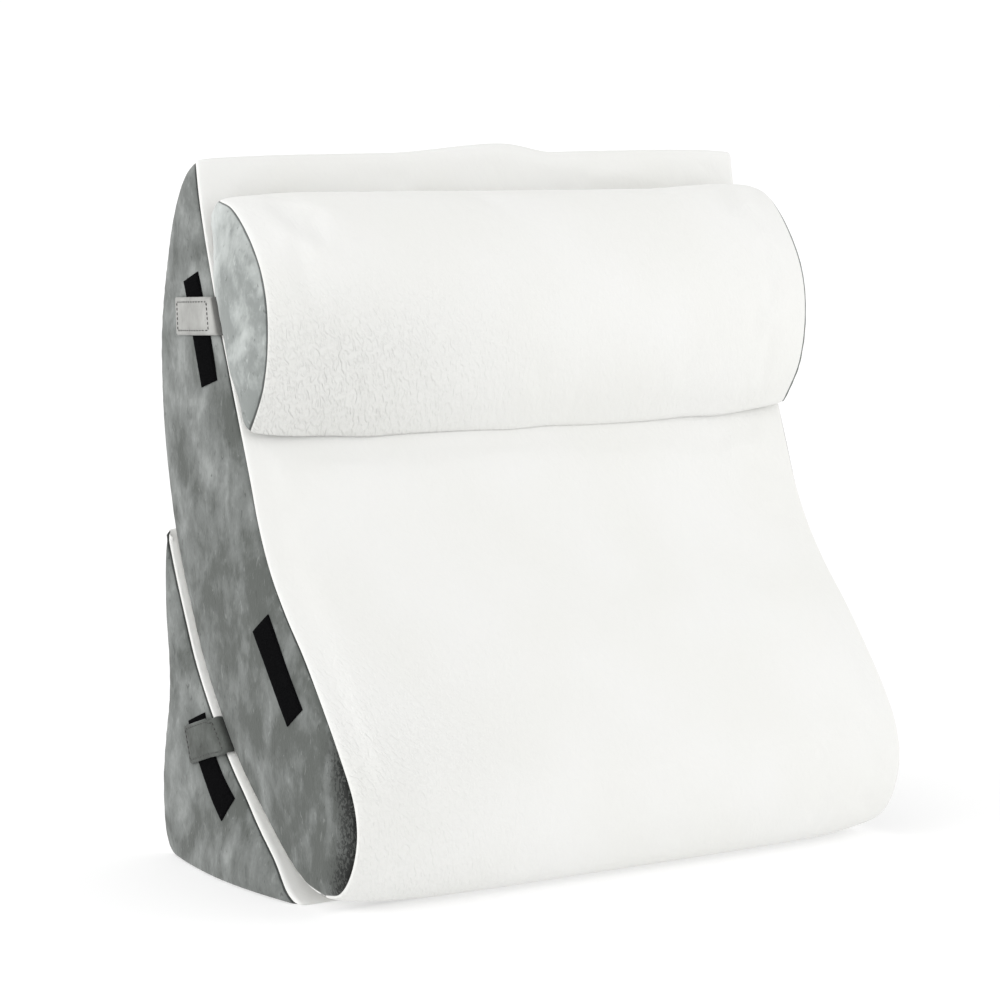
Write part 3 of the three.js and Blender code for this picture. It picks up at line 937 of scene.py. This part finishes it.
# %% [markdown]
# The box of stitches on each strap is real thread, not paint. A stitch is a short spindle that rises
# out of the cloth, runs along it and dives back in. All the stitches of one strap are one mesh.

# %% Sew the stitches
STITCH_LENGTH = 0.0034
STITCH_PITCH = 0.0046
STITCH_RADIUS = 0.0005
SPINDLE = (   # share of the length, then size and lift in radii
    (0.0, 0.15, -0.8), (0.18, 0.85, 0.3), (0.5, 1.0, 0.7), (0.82, 0.85, 0.3), (1.0, 0.15, -0.8),
)
SPINDLE_SIDES = 6


def add_stitch(builder, start, end, out):
    """One stitch from start to end, on a surface that faces out"""
    along = end - start
    across = np.cross(out, along / np.linalg.norm(along))
    turns = 2 * np.pi * np.arange(SPINDLE_SIDES + 1) / SPINDLE_SIDES
    rings = [
        start + along * share + out * lift * STITCH_RADIUS
        + STITCH_RADIUS * size * (np.cos(turns)[:, None] * across + np.sin(turns)[:, None] * out)
        for share, size, lift in SPINDLE
    ]
    for ring in rings:
        ring[-1] = ring[0]
    builder.sheet(rings, flipped=True)
    builder.face([builder.number(p) for p in rings[0][:-1]])
    builder.face([builder.number(p) for p in rings[-1][:-1]][::-1])


def surface_at(box, length, width):
    """The place on a strap's upper face, and the way it faces there"""
    i = np.interp(length, box["lengths"], np.arange(len(box["lengths"])))
    j = np.interp(width, box["widths"], np.arange(len(box["widths"])))
    i0, j0 = min(int(i), len(box["lengths"]) - 2), min(int(j), len(box["widths"]) - 2)
    a, b = i - i0, j - j0
    grid = box["over"]
    near = grid[i0, j0] * (1 - b) + grid[i0, j0 + 1] * b
    far = grid[i0 + 1, j0] * (1 - b) + grid[i0 + 1, j0 + 1] * b
    return near * (1 - a) + far * a, box["out"][i0]


def stitched_box(name, box):
    low, high = box["inset"], box["width"] - box["inset"]
    near, far = box["from"] + box["inset"], box["lengths"][-1] - box["inset"]
    corners = np.array([(near, low), (far, low), (far, high), (near, high), (near, low)])
    builder = Builder()
    for corner, side in zip(corners, np.diff(corners, axis=0)):
        run = math.hypot(*side)
        count = max(1, round(run / STITCH_PITCH))
        for k in range(count):
            first = (k + 0.5) / count - 0.5 * STITCH_LENGTH / run
            start, out = surface_at(box, *(corner + side * first))
            end, _ = surface_at(box, *(corner + side * (first + STITCH_LENGTH / run)))
            add_stitch(builder, start, end, out)
    return builder.piece(name)


stitches = {name: stitched_box(f"{name}_stitches", box) for name, box in boxes.items()}
print("stitch faces:", sum(len(piece.data.polygons) for piece in stitches.values()))

# %% [markdown]
# The finishes are node trees. To write their maths as plain Python, the small class Wire stands for
# one output socket, and its operators add Math nodes. Finish is one material: node() adds any node,
# sets its settings first and then its sockets, and mix() blends two colours through a Mix node,
# because a Math node would turn a colour grey.


# %% Shader maths as Python
class Wire:
    """What flows out of a node"""

    def __init__(self, finish, socket):
        self.finish, self.socket = finish, socket

    def maths(self, operation, other):
        return self.finish.node("ShaderNodeMath", {"operation": operation}, {0: self, 1: other})

    def __add__(self, other):
        return self.maths("ADD", other)

    def __sub__(self, other):
        return self.maths("SUBTRACT", other)

    def __mul__(self, other):
        return self.maths("MULTIPLY", other)

    def beside(self, amount):
        """The value as a move along x"""
        return self.finish.node("ShaderNodeCombineXYZ", {}, {0: self * amount})

    def scaled(self, x, y, z):
        """A vector, stretched along each axis"""
        return self.finish.node("ShaderNodeVectorMath", {"operation": "MULTIPLY"}, {0: self, 1: (x, y, z)})

    def step(self, low, high):
        """0 below low, 1 above high, and soft between them"""
        settings = {"interpolation_type": "SMOOTHSTEP"}
        return self.finish.node("ShaderNodeMapRange", settings, {0: self, 1: low, 2: high})


class Finish:
    """One material and its node tree"""

    def __init__(self, name, **constants):
        self.material = bpy.data.materials.new(name)
        self.material.use_nodes = True
        self.tree = self.material.node_tree
        self.shader = self.tree.nodes["Principled BSDF"]
        for socket, value in constants.items():
            title = socket.replace("_", " ").title().replace("Ior", "IOR")
            self.shader.inputs[title].default_value = value

    def node(self, kind, settings, inputs, output=0):
        node = self.tree.nodes.new(kind)
        for setting, value in settings.items():
            setattr(node, setting, value)
        for socket, value in inputs.items():
            self.feed(node.inputs[socket], value)
        return Wire(self, node.outputs[output])

    def feed(self, socket, value):
        if isinstance(value, Wire):
            self.tree.links.new(value.socket, socket)
        else:
            socket.default_value = value

    def mix(self, share, first, second):
        """A colour between two, by a share"""
        colours = [c if isinstance(c, Wire) else (*c, 1) for c in (first, second)]
        inputs = {0: share, 6: colours[0], 7: colours[1]}
        return self.node("ShaderNodeMix", {"data_type": "RGBA"}, inputs, output=2)

    def speckle(self, vector, size, detail=2.0, roughness=0.5, distortion=0.0):
        """Noise whose spots are about one size, in metres"""
        inputs = {"Vector": vector, "Scale": 1 / size, "Detail": detail}
        inputs |= {"Roughness": roughness, "Distortion": distortion}
        return self.node("ShaderNodeTexNoise", {}, inputs)

    def place(self):
        return self.node("ShaderNodeNewGeometry", {}, {})

    def kept(self, name):
        """A number kept on the mesh with note()"""
        return self.node("ShaderNodeAttribute", {"attribute_name": name}, {}, output=2)

    def colour(self, wire):
        self.feed(self.shader.inputs["Base Color"], wire)

    def relief(self, height, depth, strength=1.0):
        bump = self.node("ShaderNodeBump", {}, {"Strength": strength, "Distance": depth, "Height": height})
        self.feed(self.shader.inputs["Normal"], bump)


def linear(*srgb):
    """A colour as a picture shows it, from 0 to 255, as light"""
    shares = [c / 255 for c in srgb]
    return tuple(s / 12.92 if s <= 0.04045 else ((s + 0.055) / 1.055) ** 2.4 for s in shares)


def deeper(colour, share):
    """The same colour with less light"""
    return tuple(c * share for c in colour)


# %% [markdown]
# The white cover is a double knit that has been crinkled: short ridges, about 4 mm apart, that lean
# to and fro as they run down the cloth. They are far smaller than the faces, so they are relief. The
# pattern has to run along the cloth round the cushion, so it reads how far along the strip each place
# is, which was kept on the mesh, and not its height. Where the crinkles are deep, the colour is
# darkened a shade with painted shade, for the shadow their hollows hold.

# %% White crinkled knit
KNIT_LIGHT = linear(230, 230, 228)
KNIT_SHADE = linear(228, 228, 225)
KNIT_PAINTED_CREASE_SHADE = linear(217, 217, 214)
RIDGE_LEAN = -0.40       # radians, from straight up
RIDGE_WIDTH = 0.0040
RIDGE_DEPTH = 0.0011
RIDGE_BEND = {"size": 0.016, "amount": 0.006}
RIDGE_STEP = (0.36, 0.62)
CREASE_SHADE_SHARE = 0.85
FINE_SIZE = 0.0018
PATCH_SIZE = 0.12


def crinkled_knit():
    knit = Finish("crinkled white knit", roughness=0.92, sheen_weight=0.08, specular_ior_level=0.25)
    place = knit.place()
    split = knit.node("ShaderNodeSeparateXYZ", {}, {0: place})
    flat = knit.node("ShaderNodeCombineXYZ", {}, {0: split, 1: knit.kept("along")})
    bend = (knit.speckle(flat, RIDGE_BEND["size"], detail=1) - 0.5).beside(RIDGE_BEND["amount"])
    shaken = knit.node("ShaderNodeVectorMath", {"operation": "ADD"}, {0: flat, 1: bend})
    leaning = {"Vector": shaken, "Angle": RIDGE_LEAN}
    turned = knit.node("ShaderNodeVectorRotate", {"rotation_type": "Z_AXIS"}, leaning)
    ridges = knit.speckle(turned.scaled(1, 0.5, 1), RIDGE_WIDTH, detail=1).step(*RIDGE_STEP)
    fine = knit.speckle(flat, FINE_SIZE, detail=1)
    patchy = knit.speckle(flat, PATCH_SIZE, detail=1)
    plain = knit.mix(patchy.step(0.3, 0.7), KNIT_SHADE, KNIT_LIGHT)
    # painted shade: the colour is darkened where the crinkle is deep, for the shadow its hollows hold, most
    # at the lower left
    knit.colour(knit.mix(knit.kept("crinkled") * CREASE_SHADE_SHARE, plain, KNIT_PAINTED_CREASE_SHADE))
    knit.relief((ridges * 0.9 + fine * 0.1) * knit.kept("crinkled"), depth=RIDGE_DEPTH)
    return knit.material


# %% [markdown]
# Velour is a short brushed pile. Where a hand has stroked it the wrong way it looks darker, so its
# colour is clouds of light and dark a few centimetres across, broken up by streaks along the nap and
# by dark and light flecks. A thin dark line of painted shade lies beside the seam, in its groove, the
# colour is darker low down, and the pile is rubbed darker at the tall wedge's foot. All three were kept
# on the mesh when the panel was made. On a strap the painted groove shade runs along the stitches, and
# painted shade darkens the part that turns into the gap at the seam.

# %% Grey velour
VELOUR_SPOTS = {
    # size in metres, squash in z, detail, roughness, distortion
    "clouds": (0.052, 0.8, 3, 0.55, 0.4),
    "smudges": (0.0120, 0.6, 2, 0.5, 0.7),
    "pile": (0.0022, 0.6, 2, 0.5, 0.0),
    "dashes": (0.0042, 0.36, 2, 0.5, 0.9),
    "grit": (0.0032, 0.8, 2, 0.5, 0.8),
}
NAP_DEPTH = 0.0008
TO_MIDDLE, TO_LIGHT = (0.34, 0.51), (0.47, 0.64)   # the tones over which a colour turns to the next


def velour(name, dark, middle, light, flecks=0.5, shade=0.8, specks=1.0):
    dark, middle, light = [linear(*colour) for colour in (dark, middle, light)]
    cloth = Finish(name, roughness=0.9, sheen_weight=0.2, sheen_roughness=0.4, specular_ior_level=0.2)
    place = cloth.place()
    dull, rubbed, pressed = cloth.kept("dull"), cloth.kept("rubbed"), cloth.kept("pressed")
    clouds, smudges, pile, dashes, grit = [
        cloth.speckle(place.scaled(1, 1, squash), size, *settings)
        for size, squash, *settings in VELOUR_SPOTS.values()
    ]
    # the colour is darker lower down on the panels, and a little darker all over on the base wedge's
    tone = clouds * 0.72 + smudges * 0.19 + pile * 0.09 - dull * 0.11
    brushed = cloth.mix(tone.step(*TO_MIDDLE), dark, middle)
    brushed = cloth.mix(tone.step(*TO_LIGHT), brushed, light)
    darker = (dashes * 0.8 + smudges * -0.2 + 0.2).step(0.63, 0.70) * flecks
    lighter = (dashes * -0.8 + smudges * 0.2).step(-0.18, -0.12) * 0.35
    flecked = cloth.mix(darker, brushed, deeper(dark, 0.5))
    flecked = cloth.mix(lighter, flecked, light)
    # rubbed pile at the tall wedge's foot, and painted shade where a strap turns into the gap
    shaded = cloth.mix(rubbed * shade, flecked, deeper(dark, 0.4))
    speckled = (grit + rubbed * 0.22).step(0.60, 0.72) * rubbed * specks
    shaded = cloth.mix(speckled, shaded, deeper(dark, 0.12))
    # painted shade in the seam's groove on a panel, and along the stitch grooves on a strap
    line = (pressed + smudges * 0.5).step(0.62, 0.95)
    cloth.colour(cloth.mix(line * 0.75, shaded, deeper(dark, 0.2)))
    cloth.relief(smudges * 0.6 + pile * 0.4, depth=NAP_DEPTH)
    return cloth.material


# %% Black loop tape and thread
def loop_tape():
    tape = Finish("black loop tape", roughness=0.95, specular_ior_level=0.02)
    loops = tape.speckle(tape.place(), 0.0011, detail=2)
    tape.colour(tape.mix(loops.step(0.35, 0.75), linear(6, 6, 7), linear(16, 16, 17)))
    tape.relief(loops, depth=0.0005, strength=0.7)
    return tape.material


def thread(name, colour):
    made = Finish(name, roughness=0.6)
    twist = made.speckle(made.place(), 0.0006, detail=1)
    made.colour(made.mix(twist, deeper(colour, 0.7), colour))
    return made.material


# %% Dress every piece
WHITE_KNIT = crinkled_knit()
SIDE_VELOUR = velour("grey velour", (86, 89, 86), (114, 117, 115), (142, 145, 143))
ROLL_VELOUR = velour("light grey velour", (136, 140, 138), (172, 176, 174), (193, 197, 195), 0.7)
# on the straps, the shade argument sets how dark the painted shade is where they turn into the gap
STRAP_LIGHT = velour("pale strap velour", (140, 140, 137), (157, 157, 154), (173, 173, 170), 0.15, 0.95, 0.1)
STRAP_DARK = velour("grey strap velour", (70, 72, 69), (87, 90, 87), (106, 109, 106), 0.4, 0.5, 0.1)
TAPE_BLACK = loop_tape()
DARK_THREAD = thread("dark grey thread", linear(84, 84, 82))


def dress(piece, material, slot, node=None):
    """Gives a piece its finish, its body, and the node that it stands for"""
    piece.data.materials.clear()
    piece.data.materials.append(material)
    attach(piece, BODY)
    if node:
        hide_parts(node)


def flat_size(piece):
    """The rectangle that a panel is cut from, in y and z"""
    low, high = places_of(piece).min(axis=0), places_of(piece).max(axis=0)
    return float(high[1] - low[1]), float(high[2] - low[2])


for name, cover in covers.items():
    dress(cover, WHITE_KNIT, "cover_knit", f"{name}_cushion")

for node, panel in panels.items():
    cover = covers[node.split("_")[0]]
    finish = (ROLL_VELOUR, "roll_velour") if cover is covers["roll"] else (SIDE_VELOUR, "side_velour")
    dress(panel, *finish, node)
    flat_size(panel)

for node, tape in tapes.items():
    name, word = node.rsplit("_", 1)
    strip, cushion_name = TAPES[name]
    panel = panels[f"{cushion_name}_side_{word}"]
    dress(tape, TAPE_BLACK, "loop_tape", node)

for node, strap in straps.items():
    name, word = node.rsplit("_", 1)
    dress(strap, STRAP_LIGHT if name == "roll_strap" else STRAP_DARK, "strap_velour", node)
    dress(stitches[node], DARK_THREAD, "strap_velour")
    tape = tapes[f"{STRAPS[name]['under'][1]}_{word}"]

# %% [markdown]
# The photo has a plain white ground and very even light. A light table gives that: the floor glows a
# little, so shadows stay pale and the horizon melts into the white world. The world is as bright as
# the floor near the horizon and softer overhead. Two wide suns model the form, one from the front
# right, and one from the left, which whitens the cover's rolled edges beside the grey panels. A
# softbox stands near the right front, so the cover is a little brighter towards its right end.

# %% Stage and light
HORIZON_LIGHT = 1.04
OVERHEAD_LIGHT = 0.89
HORIZON_BAND = (0.25, 0.65)     # heights on the sky, as sines, between which it softens
FLOOR_SIZE = 120
FLOOR_GLOW = 0.46
LIGHTS = {   # a sun only needs the way from its place to its aim
    "front_sun": ("SUN", (0.35, -1.0, 0.45), (0, 0, 0), {"energy": 0.14, "angle": math.radians(60)}),
    "left_sun": ("SUN", (-1.0, 0.14, 0.30), (0, 0, 0), {"energy": 1.3, "angle": math.radians(40)}),
    "softbox": ("AREA", (1.25, -1.35, 1.0), (0.1, 0, 0.35), {"energy": 5.0, "size": 0.9, "shape": "DISK"}),
}

for name, (kind, place, aim, settings) in LIGHTS.items():
    light = bpy.data.lights.new(name, kind)
    for setting, value in settings.items():
        setattr(light, setting, value)
    lamp = bpy.data.objects.new(name, light)
    lamp.location = place
    lamp.rotation_euler = (Vector(aim) - lamp.location).to_track_quat("-Z", "Y").to_euler()
    scene.collection.objects.link(lamp)

world = bpy.data.worlds.new("studio")
world.use_nodes = True
sky = world.node_tree
direction = sky.nodes.new("ShaderNodeTexCoord")
height = sky.nodes.new("ShaderNodeSeparateXYZ")
soften = sky.nodes.new("ShaderNodeMapRange")
for socket, value in zip((1, 2, 3, 4), (*HORIZON_BAND, HORIZON_LIGHT, OVERHEAD_LIGHT)):
    soften.inputs[socket].default_value = value
sky.links.new(direction.outputs["Generated"], height.inputs[0])
sky.links.new(height.outputs["Z"], soften.inputs[0])
sky.links.new(soften.outputs[0], sky.nodes["Background"].inputs["Strength"])
sky.nodes["Background"].inputs["Color"].default_value = (1, 1, 1, 1)
scene.world = world
scene.view_settings.view_transform = "Standard"

corner = FLOOR_SIZE / 2
ground = Builder()
ground.sheet([[(x, y, 0) for x in (-corner, corner)] for y in (-corner, corner)])
floor = ground.piece("floor")
pale = Finish("pale floor", roughness=1.0, specular_ior_level=0.0, emission_strength=FLOOR_GLOW)
pale.shader.inputs["Emission Color"].default_value = (1, 1, 1, 1)
pale.colour(pale.mix(pale.speckle(pale.place(), 0.4), linear(201, 201, 201), linear(205, 205, 205)))
floor.data.materials.append(pale.material)
floor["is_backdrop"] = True
print("lit by the sky and", *LIGHTS)

# %% Measure and finish
box_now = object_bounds()
sides = zip([*cad_box[0], *cad_box[1]], [*box_now[0], *box_now[1]])
print("grown by", [round((abs(now) - abs(cad)) * 1000, 1) for cad, now in sides], "mm")
